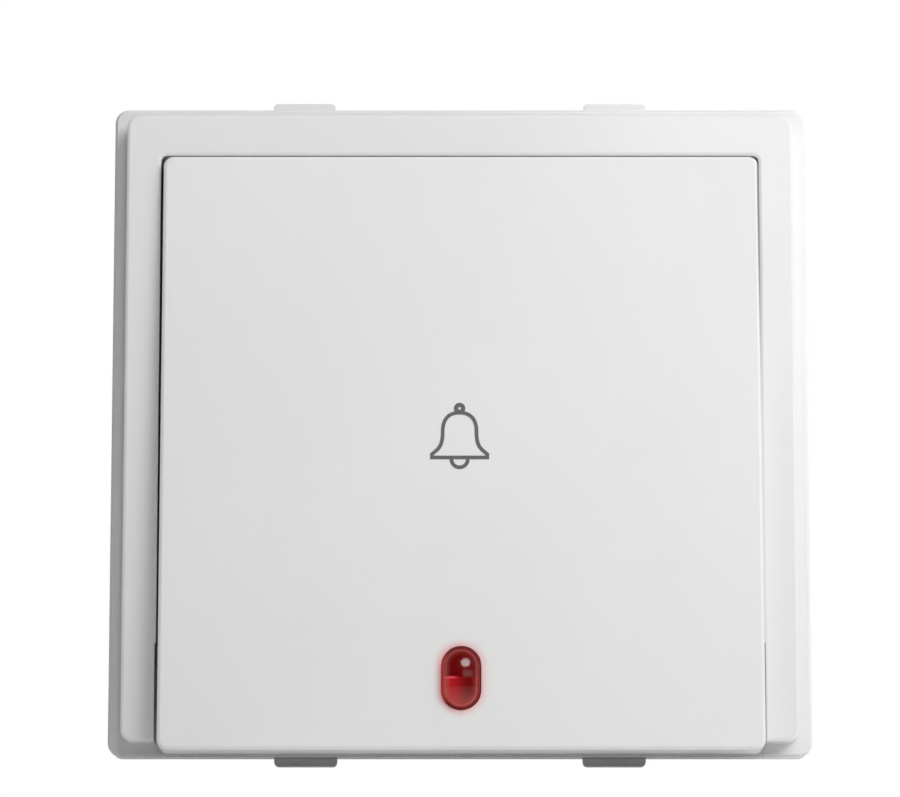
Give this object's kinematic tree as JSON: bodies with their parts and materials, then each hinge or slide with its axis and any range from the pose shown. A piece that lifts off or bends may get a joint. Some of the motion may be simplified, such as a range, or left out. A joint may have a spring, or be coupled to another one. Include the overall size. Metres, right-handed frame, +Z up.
{
  "type": "doorbell switch",
  "caption": "Square white bell push for a modular wall plate, with a top-hinged push plate, a lit red lens and screw terminals at the back.",
  "frame": {"origin": "middle of the flange's back, in the plane that lies on the wall plate", "axes": "+X right and +Z up as seen from the front, +Y into the wall"},
  "size_m": [0.045, 0.0259, 0.0434],
  "materials": {
    "white_gloss": "polished white moulding",
    "white_satin": "fine matte white moulding",
    "red_lens": "clear red moulding",
    "grey_plastic": "plain grey moulding",
    "housing_white": "plain off-white moulding",
    "natural_plastic": "natural moulding",
    "spring_steel": "drawn spring wire",
    "brass": "pressed and machined brass",
    "silver": "silver contact",
    "plated_steel": "zinc-plated steel",
    "lamp_glass": "clear glass bulb",
    "tinned_wire": "tinned wire",
    "resistor_lacquer": "lacquered body"
  },
  "bodies": {
    "base": {"front_frame": "white_gloss", "inner_cover": "grey_plastic", "rear_housing": "housing_white", "return_spring": "spring_steel", "lever_pin": "plated_steel", "lever_spring": "spring_steel", "lever_bracket": "brass", "fixed_contact_strip": "brass", "fixed_contact_tip": "silver", "left_terminal_block": "brass", "right_terminal_block": "brass", "left_terminal_screw": "plated_steel", "right_terminal_screw": "plated_steel", "cover_screws": "plated_steel", "glow_lamp": "lamp_glass", "lamp_leads": "tinned_wire", "series_resistor": "resistor_lacquer"},
    "push": {"push_plate": "white_satin", "indicator_lens": "red_lens"},
    "plunger": {"plunger": "natural_plastic"},
    "lever": {"contact_lever": "brass", "lever_contact_tip": "silver"}
  },
  "joints": [
    {"name": "plate_hinge", "type": "hinge", "parent": "base", "child": "push", "pos_m": [0, 0.0012, 0.015], "axis": [1, 0, 0], "range_deg": [0, 1.5], "stiffness_Nm_per_rad": 2, "springref_deg": -1.72, "deforming": ["return_spring", "lever_spring"]},
    {"name": "plunger_slide", "type": "slide", "parent": "base", "child": "plunger", "axis": [0, 1, 0], "range_m": [0, 0.0005], "deforming": ["return_spring"]},
    {"name": "lever_hinge", "type": "hinge", "parent": "base", "child": "lever", "pos_m": [-0.0055, 0.0091, -0.00395], "axis": [0, 0, 1], "range_deg": [0, 5.2], "deforming": ["lever_spring"]}
  ],
  "couplings": [
    {"joint": "plunger_slide", "follows": "plate_hinge", "m_per_rad": 0.018947},
    {"joint": "lever_hinge", "follows": "plate_hinge", "ratio": 3.4449}
  ]
}
